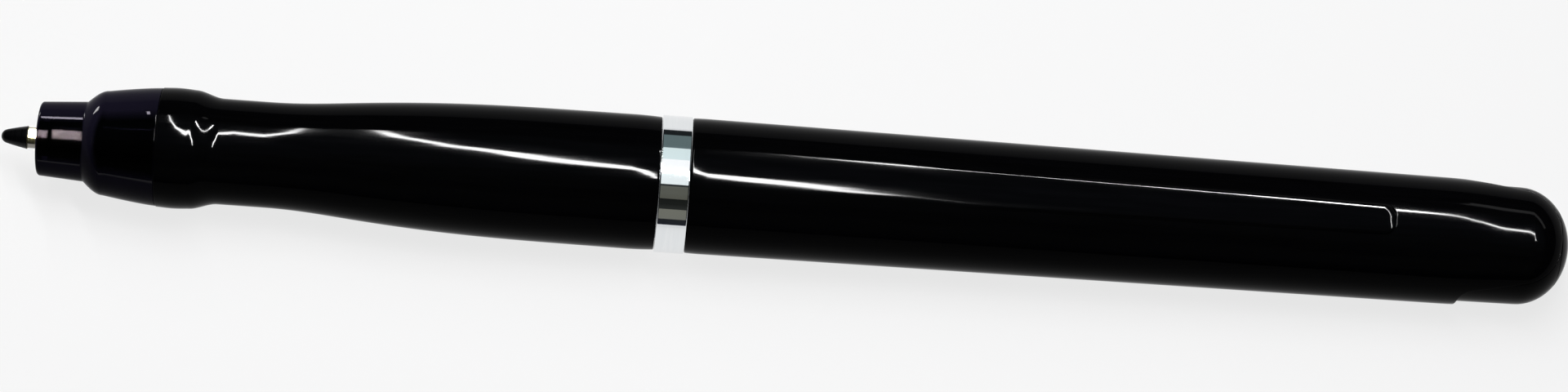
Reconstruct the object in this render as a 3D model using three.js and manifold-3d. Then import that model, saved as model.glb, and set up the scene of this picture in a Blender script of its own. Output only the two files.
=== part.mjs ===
// A stylus pen that lies along X with its writing tip towards -X, in millimetres, +Z up.
// Every piece is drawn round the X axis with the tip at x = 0, and the last lines lay the pen
// on the ground with its middle at the origin.
import * as THREE from "three";
import { mergeVertices } from "three/addons/utils/BufferGeometryUtils.js";
import Module from "manifold-3d";

const wasm = await Module();
wasm.setup();

// Clearances
const seam = 0.05; // between two pieces of the outside that meet end to end
const seat = 0.05; // between a piece and the face that it rests on
const slip = 0.05; // round a piece that is pushed into its hole
const running = 0.1; // round a piece that turns or slides

const reach = 1; // how far a cutting shape goes past the piece that it cuts

// Sides of the turned pieces
const shellSides = 32;
const innerSides = 24;
const rodSides = 16;

// Refill: a plastic nib on a metal tube
const refillLength = 67;
const refillRadius = 1.175;
const refillWall = 0.405;
const nibLength = 2.5;
const nibPointRadius = 0.71;
const nibBaseRadius = 1.1;
const nibBaseLength = 0.4;
const nibStemLength = 4.4;
const refillNeckStep = 0.175; // how much thinner the tube is behind the nib
const refillNeckLength = 2.0;
const refillShoulder = 0.3;

// Clear nose
const tipStandOut = 3.6;
const noseNeckLength = 4.35;
const noseFlareLength = 1.95;
const noseHeadLength = 5;
const noseFrontRadius = 3.5;
const noseNeckRadius = 3.8;
const noseFlareRadius = 4.97;
const noseHeadRadius = 5.61;
const noseCorner = 0.3;
const noseHoleClearance = 0.125; // round the refill
const noseFrontWall = 1.1;
const noseWall = 0.85;
const noseHeadBoreRadius = 4.2;
const noseSpigotLength = 2.8;
const noseSpigotWall = 0.55;

// Emitters behind the clear nose
const holderLead = 0.8; // how far the holder reaches into the flare
const holderLength = 4.7;
const holderBevelLength = 1.0;
const holderBevelDepth = 0.9;
const holderClearance = 0.325; // round the refill
const emitterCount = 3;
const emitterRadius = 0.6;
const emitterStandOut = 0.4;
const boardThickness = 0.8;
const ribbonWidth = 2.0;
const ribbonThickness = 0.2;
const ribbonLap = 1.0; // how far it lies under the main board behind the bulkhead

// Grip barrel
const gripBulgeLength = 3.05;
const gripBulgeRadius = 5.65;
const gripBulgeRise = 0.08;
const gripShoulderLength = 2.7;
const gripWaistRadius = 5.03;
const gripWaistLength = 4.25;
const gripSwellLength = 20.1;
const gripTailRise = 0.13; // from the end of the swell to the centre ring
const refillPastGrip = 4.8; // how far the refill reaches behind the grip
const gripEndStep = 0.05; // how far the grip's end lies below the rear barrel's front
const gripWall = 0.97;
const gripBoreSwellStart = 4.7; // from the start of the swell
const gripBoreSwellLength = 11.9;
const edgeRadius = 0.15;

// Centre ring
const ringWidth = 2.85;
const ringStep = 0.08; // how far the ring stands above the rear barrel
const ringEdge = 0.25;

// Rear barrel, its raised flat and its roof over the end plug
const rearWall = 0.93; // at the back end
const rearTaper = 0.4; // how much more radius the front end has
const flatRise = 0.19; // how far the flat stands above the barrel's back end
const flatFrontMargin = 9.05; // from the front end of the rear barrel
const flatBackMargin = 7.15; // from its back end
const flatFrontHalfWidth = 1.7;
const flatBackHalfWidth = 1.35;
const flatCorner = 1.1;
const roofLead = 0.95; // how far the roof goes on before it tapers
const roofSeamHeight = 2.3;
const roofSeamFillet = 1.6;
const roofSeamSlope = 0.156;
const roofCavityLength = 6.4;
const roofCavityRadius = 3.9;

// End plug
const plugStep = 0.36; // how far the plug lies below the barrel at the seam
const plugLength = 10.7;
const plugSpigotLength = 7.85;
const domeLength = 4.55;
const domeStep = 0.44; // how much thinner the dome starts than the barrel ends

// Chassis, boards and chips inside the grip
const chassisTubeWall = 0.55;
const chassisDiscLength = 1.5;
const chassisGap = 0.5;
const boardGap = 0.35; // from the guide tube to the main board
const chips = [
  { name: "voltage_coil", back: 24.5, size: [2.2, 1.6, 0.8], color: 0x3a3f42 },
  { name: "crystal_can", back: 18.5, size: [3.2, 1.4, 0.7], color: 0xc4c6c4 },
  { name: "processor_chip", back: 12.0, size: [4.5, 4.0, 0.9], color: 0x17181a },
  { name: "driver_chip", back: 6.5, size: [3.0, 3.0, 0.8], color: 0x1b1c1e },
];

// Carrier, return spring and tip switch behind the refill
const carrierGrip = 6.5;
const carrierWall = 0.775;
const carrierFloor = 1.2;
const carrierStemRadius = 0.7;
const carrierStemLength = 2.7;
const tipTravel = 0.5;
const returnRoom = 4.3;
const returnWire = 0.36;
const returnPitch = 0.9;
const switchLength = 4.0;
const plungerRadius = 0.6;
const plungerHeadRadius = 0.9;
const plungerHeadLength = 0.85;
const plungerLength = 3.4;

// Threaded collar that joins the two halves, with its seal
const collarGripDepth = 4.0;
const collarWall = 0.35; // under the seal's groove
const collarStep = 0.1; // how much thicker the collar is inside the grip
const collarLip = 0.6;
const threadStart = 0.7;
const threadPitch = 1.5;
const threadTurns = 5;
const threadDepth = 0.3;
const threadFlank = 0.35; // share of the pitch
const sealWidth = 1.4;
const sealDepth = 0.7;
const sealGap = 0.8;

// Battery, its sleeve and contacts
const cellRadius = 4.15;
const cellLength = 42.5;
const cellEdge = 0.3;
const cellNubRadius = 1.0;
const cellNubLength = 0.8;
const sleeveWall = 0.5;
const sleeveFloor = 1.0;
const sleeveHoleRadius = 2.4;
const sleeveShortfall = 1.5;
const contactFlangeRadius = 2.0;
const contactFlangeLength = 0.4;
const contactPostRadius = 1.1;
const contactPostLength = 2.5;
const linerWall = 0.25;
const capRim = 0.45; // round the battery spring
const capLength = 0.8;
const capBossRadius = 1.85;
const capBossLength = 1.0;
const batteryRoom = 7.0;
const batteryWire = 0.5;
const batteryPitch = 1.25;
const coilClearance = 0.3; // round the boss, since a coil cuts its corners
const plateLength = 0.6;

// Places along the pen, from the tip
const noseX = tipStandOut;
const noseNeckEndX = noseX + noseNeckLength;
const noseFlareEndX = noseNeckEndX + noseFlareLength;
const noseEndX = noseFlareEndX + noseHeadLength;
const spigotEndX = noseEndX + noseSpigotLength;
const holderX = noseFlareEndX - holderLead;
const holderEndX = holderX + holderLength;
const emitterBoardX = holderEndX + seat;
const emitterBoardEndX = emitterBoardX + boardThickness;
const gripX = noseEndX + seam;
const gripShoulderX = gripX + gripBulgeLength;
const gripWaistX = gripShoulderX + gripShoulderLength;
const gripSwellX = gripWaistX + gripWaistLength;
const gripTailX = gripSwellX + gripSwellLength;
const gripEndX = refillLength - refillPastGrip;
const ringX = gripEndX + seam;
const ringEndX = ringX + ringWidth;
const rearX = ringEndX + seam;
const collarX = gripEndX - collarGripDepth;
const carrierX = refillLength - carrierGrip;
const carrierBackX = refillLength + seat + carrierFloor;
const stemEndX = carrierBackX + carrierStemLength;
const switchX = carrierBackX + returnRoom;
const switchEndX = switchX + switchLength;
const powerBoardX = switchEndX + seat;
const powerBoardEndX = powerBoardX + boardThickness;
const threadX = rearX + threadStart;
const threadEndX = threadX + threadTurns * threadPitch;
const sealX = threadEndX + sealGap;
const sealEndX = sealX + sealWidth;
const collarEndX = Math.max(powerBoardEndX, sealEndX) + collarLip;
const sleeveX = collarEndX + seat;
const contactX = powerBoardEndX + seat;
const cellX = Math.max(contactX + contactFlangeLength + contactPostLength,
  sleeveX + sleeveFloor + seat) + seat;
const cellEndX = cellX + cellLength;
const sleeveEndX = cellEndX - sleeveShortfall;
const capX = cellEndX + seat;
const capEndX = capX + capLength;
const plateX = capEndX + batteryRoom;
const plateEndX = plateX + plateLength;
const plugSpigotX = plateEndX + seat;
const rearEndX = plugSpigotX + plugSpigotLength;
const plugX = rearEndX + seam;
const penEndX = plugX + plugLength;
const domeX = penEndX - domeLength;
const chassisX = spigotEndX + chassisGap;
const chassisRearX = collarX - seat - chassisDiscLength;
const boardEndX = chassisRearX + chassisDiscLength - seat;

// Radii round the refill
const refillBoreRadius = refillRadius - refillWall;
const noseHoleRadius = refillRadius + noseHoleClearance;
const noseSpigotRadius = noseHeadBoreRadius + noseSpigotWall;
const holderRadius = noseHeadBoreRadius - running;
const holderFaceRadius = holderRadius - holderBevelDepth;
const holderBoreRadius = refillRadius + holderClearance;
const emitterCircleRadius = (holderBoreRadius + holderFaceRadius) / 2;
const chassisTubeRadius = noseHoleRadius + chassisTubeWall;
const carrierBoreRadius = refillRadius + slip;
const carrierRadius = carrierBoreRadius + carrierWall;
const returnCoilRadius = carrierRadius - slip - returnWire / 2;

// Radii round the battery, from the cell outwards
const sleeveBoreRadius = cellRadius + running;
const sleeveRadius = sleeveBoreRadius + sleeveWall;
const linerBoreRadius = sleeveRadius + running;
const linerRadius = linerBoreRadius + linerWall;
const rearBoreRadius = linerRadius + slip;
const rearBackRadius = rearBoreRadius + rearWall;
const rearFrontRadius = rearBackRadius + rearTaper;
const flatHeight = rearBackRadius + flatRise;
const ringRadius = rearFrontRadius + ringStep;
const gripEndRadius = rearFrontRadius - gripEndStep;
const gripSwellRadius = gripEndRadius - gripTailRise;
const domeRadius = rearBackRadius - domeStep;
const plugSpigotRadius = rearBoreRadius - slip;
const threadRadius = rearBoreRadius - running;
const collarRadius = threadRadius + collarStep;
const collarBoreRadius = threadRadius - sealDepth - collarWall;
const chassisRearRadius = collarBoreRadius - running;
const gripRearBoreRadius = collarRadius + slip;
const batteryCoilRadius = capBossRadius + coilClearance + batteryWire / 2;
const capRadius = batteryCoilRadius + batteryWire / 2 + capRim;

// Main board under the guide tube, as wide as the grip's bore lets it be
const gripBoreRadius = gripWaistRadius - gripWall;
const boardDrop = chassisTubeRadius + boardGap;
const boardUndersideZ = -boardDrop - boardThickness;
const boardWidth = 2 * Math.sqrt((gripBoreRadius - running) ** 2 - boardUndersideZ ** 2);

// A profile is a list of [distance from the tip, radius]

// An S-shaped change of radius, without its first point
function bend(x0, r0, x1, r1, steps) {
  return Array.from({ length: steps }, (_, i) => {
    const t = (i + 1) / steps;
    return [x0 + (x1 - x0) * t, r0 + (r1 - r0) * t * t * (3 - 2 * t)];
  });
}

// A rounded front edge from the radius r0 at x out to the radius r1, without its first point
function rounded(x, length, r0, r1, steps) {
  return Array.from({ length: steps }, (_, i) => {
    const angle = ((i + 1) / steps) * (Math.PI / 2);
    return [x + length * (1 - Math.cos(angle)), r0 + (r1 - r0) * Math.sin(angle)];
  });
}

// A profile turned round X. It starts and ends on the axis, or it is closed on itself.
// Each side is flat at the profile's own radius, and one side faces straight down.
function turned(profile, sides) {
  const onAxis = profile[0][1] === 0;
  const loop = onAxis ? [...profile] : [...profile, profile[0]];
  const area = loop.reduce((sum, [x, r], i) => {
    const [nextX, nextR] = loop[(i + 1) % loop.length];
    return sum + x * nextR - nextX * r;
  }, 0);
  if (area > 0) loop.reverse();
  const corner = Math.cos(Math.PI / sides);
  const points = loop.map(([x, r]) => new THREE.Vector2(r / corner, x));
  return new THREE.LatheGeometry(points, sides, Math.PI / sides).rotateZ(-Math.PI / 2);
}

function box(x0, x1, y0, y1, z0, z1) {
  const geometry = new THREE.BoxGeometry(x1 - x0, y1 - y0, z1 - z0);
  return geometry.translate((x0 + x1) / 2, (y0 + y1) / 2, (z0 + z1) / 2);
}

// A closed coil of round wire along X, from x0 to x1, with the radius of its middle line
class CoilLine extends THREE.Curve {
  constructor(x0, x1, radius, turns) {
    super();
    Object.assign(this, { x0, x1, radius, turns });
  }
  getPoint(t, target = new THREE.Vector3()) {
    const angle = 2 * Math.PI * this.turns * t;
    return target.set(this.x0 + (this.x1 - this.x0) * t,
      this.radius * Math.cos(angle), this.radius * Math.sin(angle));
  }
}

function coil(name, x0, x1, radius, wire, pitch) {
  const turns = (x1 - x0 - wire) / pitch;
  const line = new CoilLine(x0 + wire / 2, x1 - wire / 2, radius, turns);
  const section = new THREE.Shape();
  section.absarc(0, 0, wire / 2, 0, 2 * Math.PI, false);
  const stepsPerTurn = 8;
  const steps = Math.ceil(turns * stepsPerTurn);
  const places = line.getPoints(steps);
  let least = Infinity;
  places.forEach((a, i) => places.slice(i + stepsPerTurn - 2).forEach((b) => {
    least = Math.min(least, a.distanceTo(b) - wire);
  }));
  console.log(name + ": least gap between turns " + least.toFixed(2) + " mm");
  const wireSides = 5;
  return new THREE.ExtrudeGeometry(section,
    { steps, curveSegments: wireSides, bevelEnabled: false, extrudePath: line });
}

// Joins and cuts
function solid(geometry) {
  const bare = geometry.index ? geometry.toNonIndexed() : geometry.clone();
  bare.deleteAttribute("normal");
  bare.deleteAttribute("uv");
  const merged = mergeVertices(bare, 1e-4);
  const faces = [];
  const index = merged.index.array;
  for (let i = 0; i < index.length; i += 3) {
    const [a, b, c] = index.slice(i, i + 3);
    if (a !== b && b !== c && c !== a) faces.push(a, b, c);
  }
  return new wasm.Manifold(new wasm.Mesh({
    numProp: 3,
    vertProperties: merged.attributes.position.array,
    triVerts: new Uint32Array(faces),
  }));
}

function geometryOf(cut) {
  const mesh = cut.getMesh();
  const geometry = new THREE.BufferGeometry();
  geometry.setAttribute("position", new THREE.BufferAttribute(mesh.vertProperties, 3));
  geometry.setIndex(new THREE.BufferAttribute(mesh.triVerts, 1));
  const flat = geometry.toNonIndexed();
  flat.computeVertexNormals();
  return flat;
}

// Surfaces
const look = (color, roughness, metalness) =>
  new THREE.MeshStandardMaterial({ color, roughness, metalness });
const glossBlack = () => look(0x0b0b0d, 0.12, 0);
const steel = () => look(0xb9bcbe, 0.25, 1);
const brass = () => look(0xb8904a, 0.35, 1);
const boardGreen = () => look(0x1f5b35, 0.6, 0);

const pen = new THREE.Group();
function add(name, geometry, material) {
  const mesh = new THREE.Mesh(geometry, material);
  mesh.name = name;
  pen.add(mesh);
}

// Refill
function nib() {
  const stemRadius = refillBoreRadius - slip;
  const stemEnd = nibLength + nibStemLength;
  return turned([[0, 0], ...rounded(0, nibPointRadius, 0, nibPointRadius, 6),
    [nibLength - nibBaseLength, nibBaseRadius], [nibLength, nibBaseRadius],
    [nibLength, stemRadius], [stemEnd, stemRadius], [stemEnd, 0]], rodSides);
}

function refillTube() {
  const start = nibLength + seat;
  const neckEnd = start + refillNeckLength;
  const refillNeckRadius = refillRadius - refillNeckStep;
  return turned([[start, refillBoreRadius], [start, refillNeckRadius],
    [neckEnd, refillNeckRadius], [neckEnd + refillShoulder, refillRadius],
    [refillLength, refillRadius], [refillLength, refillBoreRadius]], rodSides);
}

add("stylus_nib", nib(), look(0x141416, 0.35, 0));
add("refill_tube", refillTube(), steel());

// Clear nose
function noseFlare(steps) {
  return Array.from({ length: steps }, (_, i) => {
    const t = (i + 1) / steps;
    return [noseNeckEndX + noseFlareLength * t,
      noseNeckRadius + (noseFlareRadius - noseNeckRadius) * Math.sin(t * Math.PI / 2)];
  });
}

function noseHead(steps) {
  return Array.from({ length: steps }, (_, i) => {
    const t = (i + 1) / steps;
    const rise = 1 - (1 - t) ** 1.3;
    return [noseFlareEndX + noseHeadLength * t,
      noseFlareRadius + (noseHeadRadius - noseFlareRadius) * rise];
  });
}

function nose() {
  const chamberX = noseX + noseFrontWall;
  const chamberRadius = noseFrontRadius - noseWall;
  return turned([
    [noseX, noseHoleRadius], [noseX, noseFrontRadius - noseCorner],
    ...rounded(noseX, noseCorner, noseFrontRadius - noseCorner, noseFrontRadius, 3),
    [noseNeckEndX, noseNeckRadius],
    ...noseFlare(5), ...noseHead(4),
    [noseEndX, noseSpigotRadius], [spigotEndX, noseSpigotRadius],
    [spigotEndX, noseHeadBoreRadius], [noseFlareEndX, noseHeadBoreRadius],
    [noseNeckEndX, chamberRadius], [chamberX, chamberRadius], [chamberX, noseHoleRadius],
  ], shellSides);
}

add("nose_shroud", nose(), look(0x2a2340, 0.08, 0));

// Emitters and their small round board
function emitterPlace(i) {
  const angle = Math.PI / 2 + (2 * Math.PI * i) / emitterCount;
  return [emitterCircleRadius * Math.cos(angle), emitterCircleRadius * Math.sin(angle)];
}

function emitterHolder() {
  let holder = solid(turned([
    [holderX, holderBoreRadius], [holderX, holderFaceRadius],
    [holderX + holderBevelLength, holderRadius],
    [holderEndX, holderRadius], [holderEndX, holderBoreRadius],
  ], innerSides));
  for (let i = 0; i < emitterCount; i++) {
    const [y, z] = emitterPlace(i);
    const pocket = turned([[holderX - reach, 0], [holderX - reach, emitterRadius + slip],
      [holderEndX + reach, emitterRadius + slip], [holderEndX + reach, 0]], rodSides);
    holder = holder.subtract(solid(pocket.translate(0, y, z)));
  }
  return geometryOf(holder);
}

function emitter() {
  const start = holderX - emitterStandOut;
  return turned([[start, 0], ...rounded(start, emitterRadius, 0, emitterRadius, 3),
    [holderEndX, emitterRadius], [holderEndX, 0]], rodSides);
}

add("led_holder", emitterHolder(), look(0x121214, 0.5, 0));
for (let i = 0; i < emitterCount; i++) {
  const [y, z] = emitterPlace(i);
  add("infrared_led_" + (i + 1), emitter().translate(0, y, z), look(0x5a5468, 0.15, 0));
}
add("led_board", turned([[emitterBoardX, holderBoreRadius], [emitterBoardX, holderRadius],
  [emitterBoardEndX, holderRadius], [emitterBoardEndX, holderBoreRadius]], innerSides),
boardGreen());
add("ribbon_cable", box(emitterBoardEndX + seat, chassisX + chassisDiscLength + ribbonLap,
  -ribbonWidth / 2, ribbonWidth / 2,
  boardUndersideZ - seat - ribbonThickness, boardUndersideZ - seat), look(0x9a5a1e, 0.5, 0));

// Grip barrel
function gripBarrel() {
  const bulge = Array.from({ length: 4 }, (_, i) => {
    const t = (i + 0.5) / 4;
    return [gripX + gripBulgeLength * t,
      gripBulgeRadius + gripBulgeRise * Math.sin(Math.PI * t)];
  });
  const socketRadius = noseSpigotRadius + slip;
  const socketEndX = spigotEndX + seat;
  const boreSwellX = gripSwellX + gripBoreSwellStart;
  return turned([
    [gripX, socketRadius], [gripX, gripBulgeRadius - edgeRadius],
    ...bulge, [gripShoulderX, gripBulgeRadius],
    ...bend(gripShoulderX, gripBulgeRadius, gripWaistX, gripWaistRadius, 5),
    [gripSwellX, gripWaistRadius],
    ...bend(gripSwellX, gripWaistRadius, gripTailX, gripSwellRadius, 8),
    [gripEndX - edgeRadius, gripEndRadius], [gripEndX, gripEndRadius - edgeRadius],
    [gripEndX, gripRearBoreRadius], [boreSwellX + gripBoreSwellLength, gripRearBoreRadius],
    [boreSwellX, gripBoreRadius], [socketEndX, gripBoreRadius], [socketEndX, socketRadius],
  ], shellSides);
}

add("grip_barrel", gripBarrel(), glossBlack());

// Chassis: a guide tube for the refill between two round bulkheads, and the carrier's barrel
function chassis() {
  const boreRadius = noseHoleRadius;
  const wideBoreRadius = carrierRadius + running;
  const wideX = carrierX - seat - tipTravel;
  const frontRadius = gripBoreRadius - running;
  const rearRadius = gripRearBoreRadius - running;
  const frontEndX = chassisX + chassisDiscLength;
  const rearEnd = chassisRearX + chassisDiscLength;
  const body = solid(turned([
    [chassisX, boreRadius], [chassisX, frontRadius], [frontEndX, frontRadius],
    [frontEndX, chassisTubeRadius], [chassisRearX, chassisTubeRadius],
    [chassisRearX, rearRadius], [rearEnd, rearRadius], [rearEnd, chassisRearRadius],
    [switchX - seat, chassisRearRadius], [switchX - seat, wideBoreRadius],
    [wideX, wideBoreRadius], [wideX, boreRadius],
  ], innerSides));
  const boardSpace = box(chassisX - reach, rearEnd, -rearRadius - reach, rearRadius + reach,
    -rearRadius - reach, -boardDrop + seat);
  return geometryOf(body.subtract(solid(boardSpace)));
}

add("inner_chassis", chassis(), look(0x2b2d30, 0.6, 0));
add("main_board", box(chassisX + seat, boardEndX, -boardWidth / 2, boardWidth / 2,
  boardUndersideZ, -boardDrop), boardGreen());
for (const { name, back, size, color } of chips) {
  const [length, width, height] = size;
  const x = boardEndX - back;
  add(name, box(x, x + length, -width / 2, width / 2,
    boardUndersideZ - seat - height, boardUndersideZ - seat), look(color, 0.4, 0));
}

// Carrier that holds the back of the refill, its spring, and the switch that it presses
function carrier() {
  return turned([
    [stemEndX, 0], [stemEndX, carrierStemRadius], [carrierBackX, carrierStemRadius],
    [carrierBackX, carrierRadius], [carrierX, carrierRadius], [carrierX, carrierBoreRadius],
    [refillLength + seat, carrierBoreRadius], [refillLength + seat, 0],
  ], innerSides);
}

function tipSwitch() {
  const boreRadius = plungerRadius + slip;
  const boreEnd = stemEndX + seat + plungerLength + tipTravel + seat;
  return turned([
    [switchX, boreRadius], [switchX, chassisRearRadius], [switchEndX, chassisRearRadius],
    [switchEndX, 0], [boreEnd, 0], [boreEnd, boreRadius],
  ], innerSides);
}

function plunger() {
  const start = stemEndX + seat;
  return turned([
    [start, 0], [start, plungerHeadRadius], [start + plungerHeadLength, plungerHeadRadius],
    [start + plungerHeadLength, plungerRadius], [start + plungerLength, plungerRadius],
    [start + plungerLength, 0],
  ], rodSides);
}

add("refill_carrier", carrier(), look(0xd8d6cf, 0.5, 0));
add("return_spring", coil("return_spring", carrierBackX + seat, switchX - seat,
  returnCoilRadius, returnWire, returnPitch), steel());
add("tip_switch", tipSwitch(), look(0x25272b, 0.5, 0));
add("switch_plunger", plunger(), look(0xb03a2e, 0.5, 0));

// Collar that the rear barrel screws on to
function collar() {
  const thread = [];
  for (let i = threadTurns; i > 0; i--) {
    const x = threadX + i * threadPitch;
    thread.push([x, threadRadius - threadDepth],
      [x - threadPitch * threadFlank, threadRadius],
      [x - threadPitch * (1 - threadFlank), threadRadius]);
  }
  return turned([
    [collarX, collarBoreRadius], [collarEndX, collarBoreRadius], [collarEndX, threadRadius],
    [sealEndX, threadRadius], [sealEndX, threadRadius - sealDepth],
    [sealX, threadRadius - sealDepth], [sealX, threadRadius],
    [threadEndX + sealGap / 2, threadRadius],
    ...thread, [threadX, threadRadius - threadDepth], [rearX, threadRadius - threadDepth],
    [rearX, collarRadius], [collarX, collarRadius],
  ], shellSides);
}

function centreRing() {
  const bore = collarRadius + slip;
  return turned([
    [ringX, bore], [ringX, ringRadius - ringEdge], [ringX + ringEdge, ringRadius],
    [ringEndX - ringEdge, ringRadius], [ringEndX, ringRadius - ringEdge], [ringEndX, bore],
  ], shellSides);
}

// A rubber ring of round section in the collar's groove
function sealRing() {
  const floor = threadRadius - sealDepth + slip;
  const top = rearBoreRadius - slip;
  const middle = (sealX + sealEndX) / 2;
  const halfWidth = sealWidth / 2 - slip;
  const round = Array.from({ length: 8 }, (_, i) => {
    const angle = (Math.PI * (2 * i + 1)) / 8;
    return [middle + halfWidth * Math.cos(angle),
      (floor + top) / 2 + ((top - floor) / 2) * Math.sin(angle)];
  });
  return turned(round, shellSides);
}

add("threaded_collar", collar(), look(0x8d9093, 0.4, 1));
add("centre_ring", centreRing(), look(0xd9dcde, 0.06, 1));
add("seal_ring", sealRing(), look(0x7a2018, 0.7, 0));

// Battery with its board, contacts and sleeve
function powerBoard() {
  return turned([[powerBoardX, 0], [powerBoardX, chassisRearRadius],
    [powerBoardEndX, chassisRearRadius], [powerBoardEndX, 0]], innerSides);
}

function positiveContact() {
  const flangeEnd = contactX + contactFlangeLength;
  return turned([[contactX, 0], [contactX, contactFlangeRadius], [flangeEnd, contactFlangeRadius],
    [flangeEnd, contactPostRadius], [cellX - seat, contactPostRadius], [cellX - seat, 0]],
  rodSides);
}

function batterySleeve() {
  return turned([[sleeveX, sleeveHoleRadius], [sleeveX, sleeveRadius],
    [sleeveEndX, sleeveRadius], [sleeveEndX, sleeveBoreRadius],
    [sleeveX + sleeveFloor, sleeveBoreRadius], [sleeveX + sleeveFloor, sleeveHoleRadius],
  ], innerSides);
}

function cell() {
  const shoulder = cellX + cellNubLength;
  return turned([[cellX, 0], [cellX, cellNubRadius], [shoulder, cellNubRadius],
    [shoulder, cellRadius - cellEdge], [shoulder + cellEdge, cellRadius],
    [cellEndX - cellEdge, cellRadius], [cellEndX, cellRadius - cellEdge], [cellEndX, 0]],
  innerSides);
}

function contactCap() {
  return turned([[capX, 0], [capX, capRadius], [capEndX, capRadius], [capEndX, capBossRadius],
    [capEndX + capBossLength, capBossRadius], [capEndX + capBossLength, 0]], innerSides);
}

add("power_board", powerBoard(), boardGreen());
add("positive_contact", positiveContact(), brass());
add("battery_sleeve", batterySleeve(), look(0x303338, 0.6, 0));
add("battery_cell", cell(), look(0x8c5a2a, 0.3, 0.6));
add("contact_cap", contactCap(), brass());
add("battery_spring", coil("battery_spring", capEndX + seat, plateX - seat,
  batteryCoilRadius, batteryWire, batteryPitch), steel());
add("contact_plate", turned([[plateX, 0], [plateX, linerBoreRadius], [plateEndX, linerBoreRadius],
  [plateEndX, 0]], innerSides), brass());

// Rear barrel: a tapered tube with a raised flat on top and a roof over half of the end plug
function dome(steps) {
  const around = Array.from({ length: steps }, (_, i) => {
    const angle = (i / steps) * (Math.PI / 2);
    return [domeX + domeLength * Math.sin(angle), domeRadius * Math.cos(angle)];
  });
  return [...around, [penEndX, 0]];
}

// The side view of what lies below the roof, moved by a gap into the plug, as a block
function plugSpace(gap) {
  const low = -rearFrontRadius - reach;
  const far = penEndX + reach;
  const start = rearEndX + gap;
  const seamZ = (x) => roofSeamHeight + (x - rearEndX) * roofSeamSlope - gap;
  const outline = new THREE.Shape();
  outline.moveTo(start, low);
  outline.lineTo(far, low);
  outline.lineTo(far, seamZ(far));
  outline.lineTo(start + roofSeamFillet, seamZ(start + roofSeamFillet));
  outline.quadraticCurveTo(start, seamZ(start), start, seamZ(start) - roofSeamFillet);
  const width = 2 * (rearFrontRadius + reach);
  const block = new THREE.ExtrudeGeometry(outline,
    { depth: width, curveSegments: 5, bevelEnabled: false });
  return solid(block.translate(0, 0, -width / 2).rotateX(Math.PI / 2));
}

// The hollow under the roof, narrowed by a gap, as a turned profile that ends on the axis
function roofCavity(gap) {
  const end = rearEndX + roofCavityLength - gap;
  return [[rearEndX, rearBoreRadius - gap], [end, roofCavityRadius - gap], [end, 0]];
}

function flatOutline() {
  const start = rearX + flatFrontMargin;
  const end = rearEndX - flatBackMargin;
  const outline = new THREE.Shape();
  outline.moveTo(start + flatCorner, -flatFrontHalfWidth);
  outline.lineTo(end - flatCorner, -flatBackHalfWidth);
  outline.quadraticCurveTo(end, -flatBackHalfWidth, end, -flatBackHalfWidth + flatCorner);
  outline.lineTo(end, flatBackHalfWidth - flatCorner);
  outline.quadraticCurveTo(end, flatBackHalfWidth, end - flatCorner, flatBackHalfWidth);
  outline.lineTo(start + flatCorner, flatFrontHalfWidth);
  outline.quadraticCurveTo(start, flatFrontHalfWidth, start, flatFrontHalfWidth - flatCorner);
  outline.lineTo(start, -flatFrontHalfWidth + flatCorner);
  outline.quadraticCurveTo(start, -flatFrontHalfWidth, start + flatCorner, -flatFrontHalfWidth);
  return outline;
}

function flatBlock(z0, z1) {
  const block = new THREE.ExtrudeGeometry(flatOutline(),
    { depth: z1 - z0, curveSegments: 4, bevelEnabled: false });
  return solid(block.translate(0, 0, z0));
}

function rearBarrel() {
  const outside = solid(turned([
    [rearX, 0], [rearX, rearFrontRadius - edgeRadius], [rearX + edgeRadius, rearFrontRadius],
    [rearEndX + roofLead, rearBackRadius], ...dome(7),
  ], shellSides));
  const bore = solid(turned(
    [[rearX - reach, 0], [rearX - reach, rearBoreRadius], ...roofCavity(0)], shellSides));
  return geometryOf(outside.add(flatBlock(rearBoreRadius + slip, flatHeight))
    .subtract(flatBlock(flatHeight, rearFrontRadius + reach))
    .subtract(plugSpace(0))
    .subtract(bore));
}

function liner() {
  return turned([[sleeveX + sleeveFloor, linerBoreRadius], [sleeveX + sleeveFloor, linerRadius],
    [plateEndX, linerRadius], [plateEndX, linerBoreRadius + slip],
    [plateX - seat, linerBoreRadius + slip], [plateX - seat, linerBoreRadius]], shellSides);
}

function endPlug() {
  const outside = solid(turned([
    [plugX, 0], [plugX, rearBackRadius - plugStep - edgeRadius],
    [plugX + edgeRadius, rearBackRadius - plugStep], ...dome(7),
  ], shellSides));
  const core = solid(turned([
    [plugSpigotX, 0], [plugSpigotX, plugSpigotRadius],
    [rearEndX, plugSpigotRadius], ...roofCavity(running).slice(1),
  ], shellSides));
  return geometryOf(outside.intersect(plugSpace(seam)).add(core));
}

add("rear_barrel", rearBarrel(), glossBlack());
add("ground_liner", liner(), steel());
add("end_plug", endPlug(), glossBlack());

// The pen lies on the ground on its centre ring, with its middle over the origin
pen.position.set(-penEndX / 2, 0, ringRadius);
console.log("pen " + penEndX.toFixed(2) + " mm long, " + (2 * ringRadius).toFixed(2) + " mm across");

export default pen;
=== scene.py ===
# A stylus pen on a white table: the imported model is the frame, and its pieces are drawn finer here.
import bmesh
import bpy
from math import acos, asin, atan2, cos, hypot, pi, radians, sin, sqrt, tan
from mathutils import Matrix, Vector


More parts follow.
